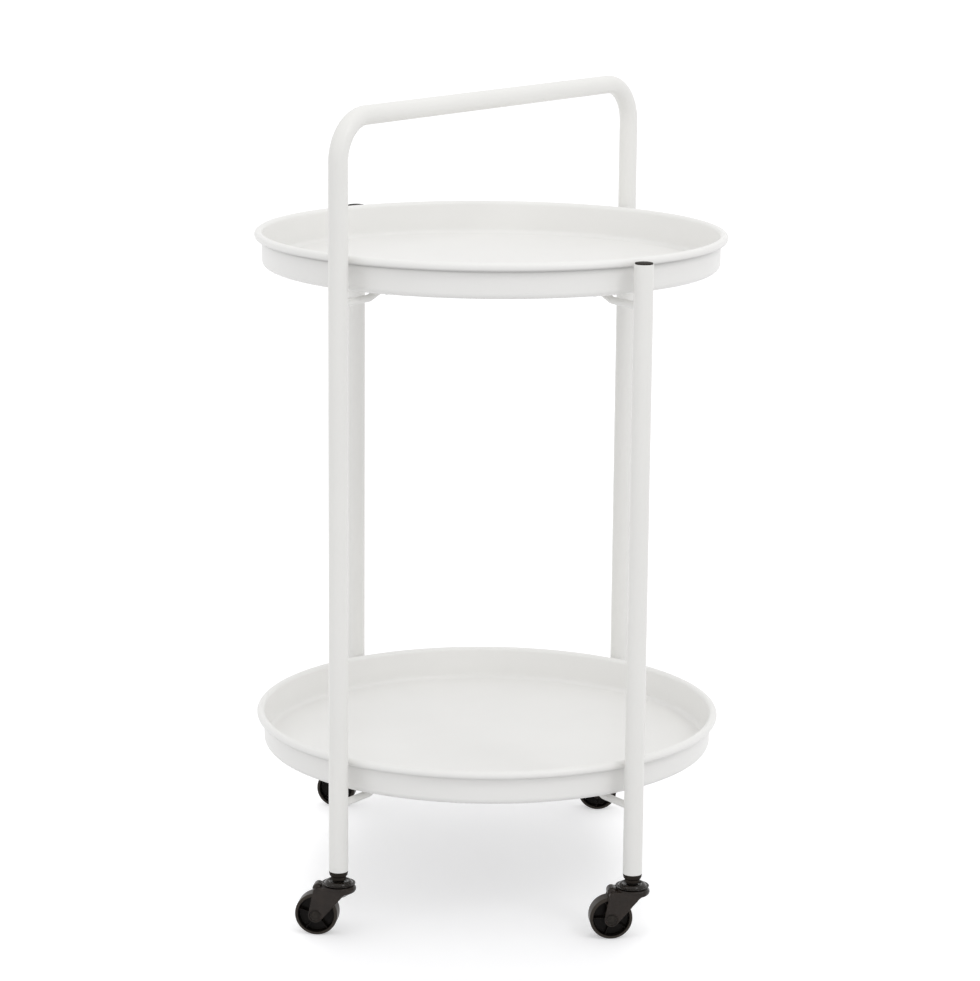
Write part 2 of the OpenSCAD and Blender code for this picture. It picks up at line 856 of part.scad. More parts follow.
at_rear_left() wheel();  // rear_left_wheel
at_rear_right() wheel();  // rear_right_wheel
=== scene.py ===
import bpy
import math
import numpy as np
from mathutils import Matrix


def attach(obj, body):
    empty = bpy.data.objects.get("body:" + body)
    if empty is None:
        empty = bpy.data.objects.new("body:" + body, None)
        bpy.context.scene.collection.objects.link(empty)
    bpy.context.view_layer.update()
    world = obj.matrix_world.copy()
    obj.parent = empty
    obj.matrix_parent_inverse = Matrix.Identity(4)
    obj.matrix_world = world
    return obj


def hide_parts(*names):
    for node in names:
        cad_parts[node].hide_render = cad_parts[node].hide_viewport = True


# Bar cart: two round trays on four legs, one bent tube as two legs and the handle, four casters.
# Shapes are set in millimetres and degrees, and put into the meshes in metres. The camera, the
# materials, the forks' smoothing, the floor and the lamps are set in metres.
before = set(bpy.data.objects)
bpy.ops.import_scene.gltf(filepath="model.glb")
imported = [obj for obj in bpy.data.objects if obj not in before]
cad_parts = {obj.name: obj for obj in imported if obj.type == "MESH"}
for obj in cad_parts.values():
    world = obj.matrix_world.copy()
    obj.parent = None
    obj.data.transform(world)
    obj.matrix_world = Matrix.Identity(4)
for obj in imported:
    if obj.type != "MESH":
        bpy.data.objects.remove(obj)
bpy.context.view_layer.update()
print("frame loaded with", len(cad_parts), "nodes")


cameraLook = {
    "focalPixels": 3278.6, "imageSide": 981, "sensor": 36.0, "clipNear": 0.05, "clipFar": 100.0,
    "place": (0.0, -3.0973, 1.0521), "pitch": 12.216, "roll": 0.532, "yaw": 0.018,
}


def turnedAndPlaced(right, up, back, place):
    # The matrix of a camera or a lamp, which looks against its third direction
    columns = np.eye(4)
    columns[:3] = np.stack([right, up, back, place], 1)
    return Matrix(columns.tolist())


def addCamera(look):
    # Yaw and pitch give the view line; roll then turns the right and up directions about it
    pitch, roll, yaw = (math.radians(look[k]) for k in ("pitch", "roll", "yaw"))
    ahead = np.array([math.sin(yaw) * math.cos(pitch), math.cos(yaw) * math.cos(pitch),
                      -math.sin(pitch)])
    level = np.array([math.cos(yaw), -math.sin(yaw), 0.0])
    above = np.cross(level, ahead)
    right = math.cos(roll) * level + math.sin(roll) * above
    up = -math.sin(roll) * level + math.cos(roll) * above
    data = bpy.data.cameras.new("camera")
    data.sensor_width = look["sensor"]
    data.lens = look["focalPixels"] * look["sensor"] / look["imageSide"]
    data.clip_start, data.clip_end = look["clipNear"], look["clipFar"]
    camera = bpy.data.objects.new("camera", data)
    bpy.context.scene.collection.objects.link(camera)
    camera.matrix_world = turnedAndPlaced(right, up, -ahead, look["place"])
    bpy.context.scene.camera = camera


addCamera(cameraLook)
print("camera placed")


fieldMiddle = (0.3, 0.7)  # a noise field stays between 0 and 1, and mostly between these


def newMaterial(name):
    # A material with its shader, and the piece's own coordinates in metres for the fields
    material = bpy.data.materials.new(name)
    material.use_nodes = True
    shader = material.node_tree.nodes["Principled BSDF"]
    place = material.node_tree.nodes.new("ShaderNodeTexCoord")
    return material, shader, place.outputs["Object"]


def noiseField(material, place, scale, detail=2.0, rough=0.5, stretch=None):
    # Noise over the piece's own coordinates, drawn out along an axis where stretch says so
    tree = material.node_tree
    if stretch:
        mapping = tree.nodes.new("ShaderNodeMapping")
        mapping.inputs["Scale"].default_value = stretch
        tree.links.new(place, mapping.inputs["Vector"])
        place = mapping.outputs["Vector"]
    noise = tree.nodes.new("ShaderNodeTexNoise")
    noise.inputs["Scale"].default_value = scale
    noise.inputs["Detail"].default_value = detail
    noise.inputs["Roughness"].default_value = rough
    tree.links.new(place, noise.inputs["Vector"])
    return noise.outputs["Fac"]


def rangeNode(tree, fromLow, fromHigh, toLow, toHigh):
    ranged = tree.nodes.new("ShaderNodeMapRange")
    sockets = ("From Min", "From Max", "To Min", "To Max")
    for socket, value in zip(sockets, (fromLow, fromHigh, toLow, toHigh)):
        ranged.inputs[socket].default_value = value
    return ranged


def spread(material, field, low, high):
    # A field's middle stretch becomes the range from low to high
    tree = material.node_tree
    ranged = rangeNode(tree, *fieldMiddle, low, high)
    tree.links.new(field, ranged.inputs["Value"])
    return ranged.outputs["Result"]


def blendColours(material, field, first, second):
    # The field mixes two colours over its middle stretch
    tree = material.node_tree
    ramp = tree.nodes.new("ShaderNodeValToRGB")
    for stop, place, colour in zip(ramp.color_ramp.elements, fieldMiddle, (first, second)):
        stop.position, stop.color = place, (*colour, 1)
    tree.links.new(field, ramp.inputs["Fac"])
    return ramp.outputs["Color"]


def bumpFrom(material, shader, fields):
    # Height fields stack up, each with its own depth in metres
    tree, normal = material.node_tree, None
    for field, depth in fields:
        bump = tree.nodes.new("ShaderNodeBump")
        bump.inputs["Strength"].default_value = 1.0
        bump.inputs["Distance"].default_value = depth
        tree.links.new(field, bump.inputs["Height"])
        if normal:
            tree.links.new(normal, bump.inputs["Normal"])
        normal = bump.outputs["Normal"]
    tree.links.new(normal, shader.inputs["Normal"])


def colourByAttribute(tree, name, colour, other):
    # The colour gives way to the other one by the amount in the piece's own attribute
    amount = tree.nodes.new("ShaderNodeAttribute")
    amount.attribute_name = name
    mixed = tree.nodes.new("ShaderNodeMixRGB")
    mixed.inputs["Color2"].default_value = (*other, 1)
    tree.links.new(amount.outputs["Fac"], mixed.inputs["Fac"])
    tree.links.new(colour, mixed.inputs["Color1"])
    return mixed.outputs["Color"]


powderCoat = {
    "light": (0.872, 0.866, 0.842), "dark": (0.848, 0.843, 0.820), "driftScale": 9.0,
    "peelScale": 620.0, "peelRough": 0.45, "peelDepth": 0.000022,
    "waveScale": 95.0, "waveDepth": 0.00006, "roughLow": 0.30, "roughHigh": 0.42, "shine": 0.42,
}


def coatMaterial(name, s):
    # Sprayed and baked powder: a warm white that drifts a little, with orange peel and a slow wave
    material, shader, place = newMaterial(name)
    drift = noiseField(material, place, s["driftScale"], detail=3.0)
    peel = noiseField(material, place, s["peelScale"], detail=2.0, rough=s["peelRough"])
    wave = noiseField(material, place, s["waveScale"], detail=1.0)
    tree = material.node_tree
    colour = blendColours(material, drift, s["dark"], s["light"])
    if "paintedShadeColour" in s:  # painted shade: under the rolled rim the colour darkens towards this colour, standing in for the shade there
        colour = colourByAttribute(tree, "painted rim shade", colour, s["paintedShadeColour"])
    tree.links.new(colour, shader.inputs["Base Color"])
    tree.links.new(spread(material, peel, s["roughLow"], s["roughHigh"]), shader.inputs["Roughness"])
    shader.inputs["Specular IOR Level"].default_value = s["shine"]
    bumpFrom(material, shader, [(wave, s["waveDepth"]), (peel, s["peelDepth"])])
    return material


def blackMaterial(name, s):
    # Moulded or lacquered black: two near blacks, a fine grain and a slow sink of the surface
    material, shader, place = newMaterial(name)
    cloud = noiseField(material, place, s["cloudScale"], detail=3.0)
    grain = noiseField(material, place, s["grainScale"], detail=2.0)
    sink = noiseField(material, place, s["sinkScale"], detail=1.0)
    tree = material.node_tree
    colour = blendColours(material, cloud, s["dark"], s["light"])
    if "face" in s:  # painted shade: the recessed web keeps the darker near blacks for the shade in it, the tread and rim faces get the lighter colour
        colour = colourByAttribute(tree, "open face", colour, s["face"])
    tree.links.new(colour, shader.inputs["Base Color"])
    tree.links.new(spread(material, grain, s["roughLow"], s["roughHigh"]), shader.inputs["Roughness"])
    shader.inputs["Specular IOR Level"].default_value = s["shine"]
    if "lacquer" in s:
        shader.inputs["Coat Weight"].default_value = s["lacquer"]
        shader.inputs["Coat Roughness"].default_value = s["lacquerRough"]
    bumpFrom(material, shader, [(sink, s["sinkDepth"]), (grain, s["grainDepth"])])
    return material


def metalMaterial(name, s):
    # Metal with a drawn-out grain and small changes of tone
    material, shader, place = newMaterial(name)
    tone = noiseField(material, place, s["toneScale"], detail=3.0)
    grain = noiseField(material, place, s["grainScale"], detail=3.0, rough=0.6, stretch=s["stretch"])
    tree = material.node_tree
    tree.links.new(blendColours(material, tone, s["dark"], s["light"]), shader.inputs["Base Color"])
    tree.links.new(spread(material, grain, s["roughLow"], s["roughHigh"]), shader.inputs["Roughness"])
    shader.inputs["Metallic"].default_value = 1.0
    bumpFrom(material, shader, [(grain, s["grainDepth"])])
    return material


frameWhite = coatMaterial("powder coat on tube", powderCoat)
# The sheet's coat also carries a dark colour that paints the shade under the rolled rim
trayWhite = coatMaterial("powder coat on sheet", {
    **powderCoat, "light": (0.896, 0.891, 0.874), "dark": (0.874, 0.869, 0.852),
    "paintedShadeColour": (0.05, 0.048, 0.044), "peelScale": 540.0, "waveScale": 38.0, "waveDepth": 0.00010})
capBlack = blackMaterial("moulded cap plastic", {
    "light": (0.031, 0.026, 0.021), "dark": (0.022, 0.018, 0.015), "cloudScale": 180.0,
    "grainScale": 2600.0, "grainDepth": 0.000010, "sinkScale": 240.0, "sinkDepth": 0.00004,
    "roughLow": 0.46, "roughHigh": 0.58, "shine": 0.06})
cupLacquer = blackMaterial("lacquered race cup", {
    "light": (0.016, 0.012, 0.009), "dark": (0.010, 0.008, 0.006), "cloudScale": 150.0,
    "grainScale": 1500.0, "grainDepth": 0.000004, "sinkScale": 300.0, "sinkDepth": 0.00003,
    "roughLow": 0.14, "roughHigh": 0.20, "shine": 0.16, "lacquer": 0.28, "lacquerRough": 0.08})
forkBlack = blackMaterial("glass filled nylon fork", {
    "light": (0.023, 0.016, 0.012), "dark": (0.014, 0.010, 0.0075), "cloudScale": 120.0,
    "grainScale": 2200.0, "grainDepth": 0.000008, "sinkScale": 160.0, "sinkDepth": 0.00005,
    "roughLow": 0.24, "roughHigh": 0.34, "shine": 0.25})
# The wheel's near blacks paint the shade in its recessed web; the tread and rim faces get the lighter
# face colour
wheelBlack = blackMaterial("moulded wheel", {
    "light": (0.009, 0.007, 0.006), "dark": (0.005, 0.004, 0.003), "cloudScale": 140.0,
    "grainScale": 1900.0, "grainDepth": 0.000010, "sinkScale": 200.0, "sinkDepth": 0.00004,
    "roughLow": 0.26, "roughHigh": 0.38, "shine": 0.09, "face": (0.044, 0.037, 0.031)})
zincPlate = metalMaterial("zinc plate", {
    "light": (0.66, 0.67, 0.66), "dark": (0.55, 0.56, 0.57), "toneScale": 160.0,
    "grainScale": 900.0, "stretch": (1.0, 1.0, 0.15), "grainDepth": 0.000006,
    "roughLow": 0.26, "roughHigh": 0.42})
blackSteel = metalMaterial("blackened steel", {
    "light": (0.038, 0.034, 0.030), "dark": (0.022, 0.020, 0.018), "toneScale": 260.0,
    "grainScale": 1200.0, "stretch": (1.0, 1.0, 0.3), "grainDepth": 0.000006,
    "roughLow": 0.34, "roughHigh": 0.48})
ballSteel = metalMaterial("bearing steel", {
    "light": (0.74, 0.74, 0.75), "dark": (0.66, 0.66, 0.68), "toneScale": 400.0,
    "grainScale": 1800.0, "stretch": (1.0, 1.0, 1.0), "grainDepth": 0.000001,
    "roughLow": 0.07, "roughHigh": 0.14})
print("materials made")


millimetre = 0.001


def unit(v):
    return v / np.linalg.norm(v, axis=-1, keepdims=True)


def roundCorners(corners, radius, steps):
    # Each inner corner gives way to an arc that touches both sides: set-back = radius * tan(turn / 2),
    # centre = radius to the side of the touching point, and the arc's points turn evenly about it
    p = np.asarray(corners, float)
    into, out = unit(p[1:-1] - p[:-2]), unit(p[2:] - p[1:-1])
    turn = np.arctan2(into[:, 0] * out[:, 1] - into[:, 1] * out[:, 0], (into * out).sum(1))
    r = np.broadcast_to(np.asarray(radius, float), turn.shape)
    side = np.where(turn < 0, -1.0, 1.0)
    start = p[1:-1] - into * (r * np.tan(abs(turn) / 2))[:, None]
    centre = start + (side * r)[:, None] * np.stack([-into[:, 1], into[:, 0]], 1)
    first = np.arctan2(into[:, 1], into[:, 0]) - side * np.pi / 2
    angle = first[:, None] + turn[:, None] * np.linspace(0, 1, steps)
    arc = centre[:, None] + r[:, None, None] * np.stack([np.cos(angle), np.sin(angle)], -1)
    return np.concatenate([p[:1], arc.reshape(-1, 2), p[-1:]])


def roundLoop(corners, radius, steps):
    # The same for a closed outline: its last corner comes before the first and its first after the last
    c = np.asarray(corners, float)
    return roundCorners(np.vstack([c[-1:], c, c[:1]]), radius, steps)[1:-1]


def arcOf(centre, radius, first, last, steps):
    # centre + radius * (cos, sin) of the angles from first to last
    angle = np.radians(np.linspace(first, last, steps))
    return np.asarray(centre) + radius * np.stack([np.cos(angle), np.sin(angle)], 1)


def runningLength(line):
    # At each point the sum of the distances between the points up to it
    return np.concatenate([[0.0], np.cumsum(np.linalg.norm(np.diff(line, axis=0), axis=1))])


def alongLine(line, lengths):
    # Places and left-hand normals at the given lengths along a flat line, read off between its points
    run = runningLength(line)
    heading = unit(np.gradient(line, run, axis=0))
    place = np.stack([np.interp(lengths, run, line[:, k]) for k in (0, 1)], 1)
    ahead = unit(np.stack([np.interp(lengths, run, heading[:, k]) for k in (0, 1)], 1))
    return place, np.stack([-ahead[:, 1], ahead[:, 0]], 1)


def spaced(line, step, apart=0.45):
    # The lengths of a line's own points, and one more after each step that ends further from all of
    # them than a share of the step
    run = runningLength(line)
    extra = np.arange(step, run[-1], step)
    near = np.abs(extra[:, None] - run[None, :]).min(1)
    return np.sort(np.concatenate([run, extra[near > apart * step]]))


def skin(grid, ring=False):
    # Quads join neighbouring points of the grid. Its columns close. Its rows close too in a ring;
    # otherwise its first and last row are one point each. The volume inside is a sixth of the sum
    # of the faces' triple products, and where that is negative the faces turn round.
    rows, columns = grid.shape[:2]
    column = np.arange(columns)
    after = (column + 1) % columns
    row = np.arange(rows if ring else rows - 3)[:, None] * columns
    below = (row + columns) % (rows * columns) if ring else row + columns
    quads = np.stack([row + column, below + column, below + after, row + after], -1).reshape(-1, 4)
    points, triangles = grid.reshape(-1, 3), np.zeros((0, 3), int)
    if not ring:
        points = np.vstack([grid[1:-1].reshape(-1, 3), grid[:1, 0], grid[-1:, 0]])
        first, last, base = len(points) - 2, len(points) - 1, (rows - 3) * columns
        triangles = np.vstack([np.stack([0 * column + first, column, after], 1),
                               np.stack([0 * column + last, base + after, base + column], 1)])
    fan = np.vstack([quads[:, [0, 1, 2]], quads[:, [0, 2, 3]], triangles])
    a, b, c = (points[fan[:, k]] for k in range(3))
    if np.einsum("ij,ij->", a, np.cross(b, c)) < 0:
        quads, triangles = quads[:, ::-1], triangles[:, ::-1]
    return points, quads, triangles


def closedSkin(grid):
    # A tube's first and last ring are closed, each by a fan about the mean of its points
    first, last = (row.mean(1, keepdims=True) + 0 * row for row in (grid[:1], grid[-1:]))
    return skin(np.concatenate([first, grid, last]))


def lathe(profile, sides):
    # The profile's radius and height, turned about Z
    angle = np.linspace(0, 2 * np.pi, sides, endpoint=False)
    radius, height = profile[:, :1], profile[:, 1:]
    return np.stack([radius * np.cos(angle), radius * np.sin(angle), height + 0 * angle], -1)


def carry(line, lengths, along, across, heading):
    # A cross-section carried along a flat line that stands on the ground at a heading: each point is
    # the place on the line + along * the line's normal + across * the level direction beside it
    place, normal = alongLine(line, lengths)
    c, s = math.cos(math.radians(heading)), math.sin(math.radians(heading))
    lift, beside = np.array([[c, s, 0.0], [0.0, 0.0, 1.0]]), np.array([-s, c, 0.0])
    middle, above = (place @ lift)[:, None], (normal @ lift)[:, None]
    return middle + along[..., None] * above + across[..., None] * beside


def moved(shell, turn=0.0, shift=(0.0, 0.0, 0.0), lay=None):
    # Turned about Z and shifted. lay "side" first swaps a shape's own axis from Z to Y.
    points, quads, triangles = shell
    if lay == "side":
        points = points @ np.array([[1.0, 0, 0], [0, 0, 1.0], [0, -1.0, 0]])
    c, s = math.cos(math.radians(turn)), math.sin(math.radians(turn))
    return points @ np.array([[c, s, 0], [-s, c, 0], [0, 0, 1.0]]) + np.asarray(shift), quads, triangles


def finishPiece(name, mesh, material, body, stands):
    # The piece is shaded by its large faces' normals, rides on its body and stands for its nodes
    mesh.materials.clear()
    mesh.materials.append(material)
    mesh.shade_smooth()
    piece = bpy.data.objects.new(name, mesh)
    bpy.context.scene.collection.objects.link(piece)
    shading = piece.modifiers.new("weighted normals", "WEIGHTED_NORMAL")
    shading.weight, shading.keep_sharp = 100, True
    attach(piece, body)
    if stands:
        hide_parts(*stands)
    return piece


def addPiece(name, shells, material, body="cart", stands=None):
    # Closed skins become one mesh, each one's faces counted on from the last one's points. The piece
    # stands for the node of its own name unless stands names others, or none.
    allPoints, faces, count = [], [], 0
    for points, quads, triangles in shells:
        faces += (quads + count).tolist() + (triangles + count).tolist()
        allPoints.append(points)
        count += len(points)
    mesh = bpy.data.meshes.new(name)
    mesh.from_pydata((np.vstack(allPoints) * millimetre).tolist(), [], faces)
    return finishPiece(name, mesh, material, body, (name,) if stands is None else stands)


# The legs stand on a circle, at this angle off the side-to-side line. A caster has the sides it stands
# on, right and rear being 1, and its turn about the swivel.
cart = {"legCircle": 238.0, "diagonal": 55.0, "tube": 9.0, "bore": 7.8, "legBottom": 61.1,
        "legTop": 631.8, "handle": 759.0, "bend": 40.0, "trays": {"upper": 601.5, "lower": 133.0}}
casterPlaces = {"front_left": (-1, -1, -7.0), "front_right": (1, -1, 5.0),
                "rear_left": (-1, 1, -8.0), "rear_right": (1, 1, -4.0)}


tubeLook = {"edge": 0.4, "step": 22.0, "bendSteps": 25, "sides": 64, "oval": 0.008}


def tubeSkin(line, heading, s):
    # A round section carried along the line, outside first and then back inside, with rounded ends.
    # The bending is the change of heading per length * the bend's radius, so 1 in a bend and else 0.
    # The section flattens with it: its height shrinks and its width grows by the same share.
    lengths = spaced(line, s["step"])
    end, edge = lengths[-1], s["edge"] * np.array([0.0, 0.3, 1.0])
    inner = lengths[(lengths > 2 * s["edge"]) & (lengths < end - 2 * s["edge"])]
    lengths = np.concatenate([edge, inner, end - edge[::-1]])
    lip = np.concatenate([edge[::-1], 0 * inner, edge])
    run = runningLength(line)
    heads = np.unwrap(np.arctan2(*np.gradient(line, run, axis=0).T[::-1]))
    bending = np.abs(np.interp(lengths, run, np.gradient(heads, run))) * cart["bend"]
    oval = s["oval"] * np.clip(bending, 0, 1)
    lengths = np.concatenate([lengths, lengths[::-1]])
    radius = np.concatenate([cart["tube"] - lip, (cart["bore"] + lip)[::-1]])
    oval = np.concatenate([oval, oval[::-1]])
    angle = np.linspace(0, 2 * np.pi, s["sides"], endpoint=False)
    along = (radius * (1 - oval))[:, None] * np.cos(angle)
    across = (radius * (1 + oval))[:, None] * np.sin(angle)
    return skin(carry(line, lengths, along, across, heading), ring=True)


def buildTubes(s):
    r, low, high = cart["legCircle"], cart["legBottom"], cart["handle"]
    bent = roundCorners([(-r, low), (-r, high), (r, high), (r, low)], cart["bend"], s["bendSteps"])
    addPiece("handle_frame", [tubeSkin(bent, cart["diagonal"], s)], frameWhite)
    for name, side in (("front_right_leg", 1), ("rear_left_leg", -1)):
        straight = np.array([(side * r, low), (side * r, cart["legTop"])])
        addPiece(name, [tubeSkin(straight, -cart["diagonal"], s)], frameWhite)


capLook = {"head": 8.2, "dome": 0.8, "domeRows": 14, "edge": 1.2, "bevel": 0.35, "bevelDrop": 0.05,
           "plug": 7.75, "plugLength": 12.0, "plugWall": 1.4, "plugFloor": 0.4,
           "rounding": [0.12, 0.15, 0.2, 0.4, 0.3, 0.3], "sides": 72}


def buildCaps(s):
    # The dome is a flat arc over the head's half width: its radius is (width^2 + rise^2) / (2 * rise)
    w, rise = s["head"], s["dome"]
    big = (w * w + rise * rise) / (2 * rise)
    reach = np.linspace(0, w - s["bevel"], s["domeRows"])
    dome = np.stack([reach, s["edge"] + rise - big + np.sqrt(big * big - reach * reach)], 1)
    plug, hollow, bottom, roof = s["plug"], s["plug"] - s["plugWall"], -s["plugLength"], -s["plugFloor"]
    lip = roundCorners([
        dome[-1], (w, s["edge"] - s["bevelDrop"]), (w, 0.0), (plug, 0.0), (plug, bottom),
        (hollow, bottom), (hollow, roof), (0.0, roof)], s["rounding"], steps=4)
    cap = skin(lathe(np.vstack([dome, lip[1:]]), s["sides"]))
    for name, side in (("front_right_leg_cap", 1), ("rear_left_leg_cap", -1)):
        at, out = math.radians(-cart["diagonal"]), side * cart["legCircle"]
        shift = (out * math.cos(at), out * math.sin(at), cart["legTop"])
        addPiece(name, [moved(cap, 0, shift)], capBlack)


weldLook = {"rod": 3.5, "bead": 1.25, "drop": 8.5, "inRod": 0.25, "inTube": 0.35, "ripples": 17,
            "ripple": 0.09, "sides": 168, "around": 14}


def weldSkin(heading, height, s):
    # The bead's middle runs round the rod on the tube's surface: at angle a about the rod it stands
    # rod * (cos a, sin a) off the rod's axis and sqrt(tube^2 - (rod * cos a)^2) in front of the tube's
    # axis, a little sunk into both. Its section is a circle that swells and shrinks along the bead.
    angle = np.linspace(0, 2 * np.pi, s["sides"], endpoint=False)[:, None]
    section = np.linspace(0, 2 * np.pi, s["around"], endpoint=False)[None, :]
    bead = s["bead"] + s["ripple"] * np.abs(np.sin(s["ripples"] * angle / 2)) - s["ripple"] / 2
    stand = s["rod"] - s["inRod"] + bead * np.cos(section)
    level, up = stand * np.cos(angle), stand * np.sin(angle)
    surface = np.sqrt(cart["tube"] ** 2 - (s["rod"] * np.cos(angle)) ** 2)
    front = surface - s["inTube"] + bead * np.sin(section)
    grid = np.stack([cart["legCircle"] - front, level, up], -1)
    return moved(skin(grid, ring=True), heading, (0, 0, height - s["drop"]))


def buildWelds(s):
    headings = [cart["diagonal"], cart["diagonal"] + 180, -cart["diagonal"], 180 - cart["diagonal"]]
    for tray, height in cart["trays"].items():
        beads = [weldSkin(heading, height, s) for heading in headings]
        addPiece(tray + "_rod_welds", beads, frameWhite, stands=())


# shade is how strongly each tray's wall is painted darker under the rim, in place of the shade there
trayLook = {"radius": 225.0, "height": 33.6, "sheet": 0.8, "rim": 3.9, "corner": 6.0, "roll": 305.0,
            "floorRows": [*range(0, 201, 10), 206, 210], "floorEnd": 0.8, "cornerSteps": 14,
            "wallStart": 0.6, "wallRows": 4, "shadeDeep": 9.0, "shadeRows": 18, "wallEnd": 0.5,
            "rollSteps": 60, "edgeSteps": 9, "sides": 240,
            "shade": {"upper": 0.39, "lower": 0.14}, "shadeWidth": 1.5, "shadeSide": 0.6}


def markPoints(piece, name, amount):
    # The piece's material reads this amount, one for each point, and mixes two colours by it
    marks = piece.data.attributes.new(name, "FLOAT", "POINT")
    marks.data.foreach_set("value", amount.astype(np.float32))


def shadeUnderRim(tray, name, height, s):
    # Painted shade on the wall's outside just under the rolled rim, standing in for the shade that the
    # rim casts there: at a depth below the rim's lower edge the shade is strength * exp(-(depth /
    # width)^2)
    points = np.empty(3 * len(tray.data.vertices))
    tray.data.vertices.foreach_get("co", points)
    points = points.reshape(-1, 3) / millimetre
    depth = height + s["height"] - 2 * s["rim"] - points[:, 2]
    between = s["radius"] - 2 * s["rim"] + s["shadeSide"] * s["sheet"]  # the wall's two faces
    outside = np.hypot(points[:, 0], points[:, 1]) > between
    shade = outside * s["shade"][name] * np.exp(-((depth / s["shadeWidth"]) ** 2))
    markPoints(tray, "painted rim shade", shade)


def buildTrays(s):
    # The sheet's middle line runs out along the floor, round the corner, up the wall, with closer rows
    # where it is shaded, and round the rolled rim. Both faces stand half a sheet off it along its
    # normals, and a half circle joins them at the edge.
    half = s["sheet"] / 2
    wall = s["radius"] - 2 * s["rim"] + half
    mid = s["corner"] - half
    rimPlace = (s["radius"] - s["rim"], s["height"] - s["rim"])
    floor = np.array([*s["floorRows"], wall - mid - s["floorEnd"]])
    shaded = rimPlace[1] - s["shadeDeep"]
    rise = np.concatenate([
        np.linspace(s["corner"] + s["wallStart"], shaded - 1, s["wallRows"]),
        np.linspace(shaded, rimPlace[1] - s["wallEnd"], s["shadeRows"])])
    line = np.vstack([np.stack([floor, np.full(len(floor), half)], 1),
                      arcOf((wall - mid, half + mid), mid, -90, 0, s["cornerSteps"]),
                      np.stack([np.full(len(rise), wall), rise], 1),
                      arcOf(rimPlace, s["rim"] - half, 180, 180 - s["roll"], s["rollSteps"])])
    place, normal = alongLine(line, runningLength(line))
    ahead = np.array([normal[-1, 1], -normal[-1, 0]])
    turn = np.radians(np.linspace(-90, 90, s["edgeSteps"])[1:-1])[:, None]
    edge = place[-1] + half * (np.cos(turn) * ahead + np.sin(turn) * normal[-1])
    profile = np.vstack([place - half * normal, edge, (place + half * normal)[::-1]])
    for tray, height in cart["trays"].items():
        shell = moved(skin(lathe(profile, s["sides"])), 0, (0, 0, height))
        made = addPiece(tray + "_tray", [shell], trayWhite)
        shadeUnderRim(made, tray, height, s)


rodLook = {"radius": 3.5, "under": 3.6, "drop": 8.5, "riseEnd": 178.0, "riseStart": 192.0, "bend": 9.0,
           "bendSteps": 9, "reach": 230.0, "stud": 165.0, "eyeThick": 3.0, "eyeWide": 11.0,
           "eyeHalf": 9.0, "crossHalf": 11.8, "fade": 2.6, "dip": 3.0, "dipEnd": 138.0,
           "dipStart": 152.0, "step": 1.6, "around": 36}


def rodSkin(heading, height, dip, s):
    # The rod's middle line is level under the tray, drops towards the legs and may dip before the
    # crossing. Where it is pressed flat, it rises to the tray, its half height shrinks, its half width
    # grows and its section goes from a circle to a squarer oval: (|cos|, |sin|) to the power 2 / n,
    # with n from 2 to 5.
    half = [(0.0, -s["under"] - dip)]
    half += [(s["dipEnd"], -s["under"] - dip), (s["dipStart"], -s["under"])] if dip else []
    half += [(s["riseEnd"], -s["under"]), (s["riseStart"], -s["drop"]), (s["reach"], -s["drop"])]
    half = roundCorners(half, s["bend"], s["bendSteps"])
    x = np.arange(-s["reach"], s["reach"] + 0.01, s["step"])
    x = np.append(x, s["reach"]) if x[-1] < s["reach"] - 0.2 else x
    apart = np.stack([s["eyeHalf"] - abs(abs(x) - s["stud"]), s["crossHalf"] - abs(x)])
    flat = np.clip((apart + s["fade"]) / (2 * s["fade"]), 0, 1).max(0)
    flat = flat * flat * (3 - 2 * flat)
    level = np.interp(abs(x), half[:, 0], half[:, 1]) + flat * (s["under"] - s["eyeThick"] / 2)
    line = np.stack([x, level], 1)
    angle = np.linspace(0, 2 * np.pi, s["around"], endpoint=False)
    power = 2 / (2 + 3 * flat)[:, None]
    tall = (s["radius"] + flat * (s["eyeThick"] / 2 - s["radius"]))[:, None]
    wide = (s["radius"] + flat * (s["eyeWide"] / 2 - s["radius"]))[:, None]
    along = tall * np.sign(np.cos(angle)) * np.abs(np.cos(angle)) ** power
    across = wide * np.sign(np.sin(angle)) * np.abs(np.sin(angle)) ** power
    grid = carry(line, runningLength(line), along, across, heading)
    return moved(closedSkin(grid), 0, (0, 0, height))


def buildRods(s):
    across = cart["diagonal"]
    for tray, height in cart["trays"].items():
        for side, heading, dip in (("handle", across, 0.0), ("straight", -across, s["dip"])):
            rod = rodSkin(heading, height, dip, s)
            addPiece(f"{tray}_{side}_side_rod", [rod], frameWhite)


boltLook = {"circle": 165.0, "eye": 3.0, "end": 0.6,
            "stud": 2.5, "play": 0.03, "pitch": 0.8, "thread": 0.42, "valley": 1.3, "threadTop": 3.2,
            "tip": 0.55, "row": 0.08, "studAround": 40,
            "washer": 5.0, "washerThick": 1.0, "rounding": [0.12, 0.3, 0.3, 0.12], "washerAround": 56,
            "nut": 4.6, "nutHigh": 4.0, "nutRows": [0.0, 0.12, 0.3, 0.5, 0.75], "nutAround": 96,
            "bevel": 0.25, "bevelSlope": 1.8, "boreGap": 0.05, "boreBevel": 0.5}


def studSkin(length, s):
    # Radius at height z and turn a: the crest less the thread's depth * |2 * phase - 1| to a power, with
    # the phase being the fraction of (z / pitch + a / one turn). A cone cuts the tip.
    z = np.linspace(0.0, -length, int(length / s["row"]))[:, None]
    a = np.linspace(0, 2 * np.pi, s["studAround"], endpoint=False)[None, :]
    phase = (z / s["pitch"] + a / (2 * np.pi)) % 1
    cut = s["thread"] * np.abs(2 * phase - 1) ** s["valley"] * (z < -s["threadTop"])
    radius = np.minimum(s["stud"] - s["play"] - cut, s["stud"] - s["tip"] + length + z)
    return closedSkin(np.stack([radius * np.cos(a), radius * np.sin(a), z + 0 * a], -1))


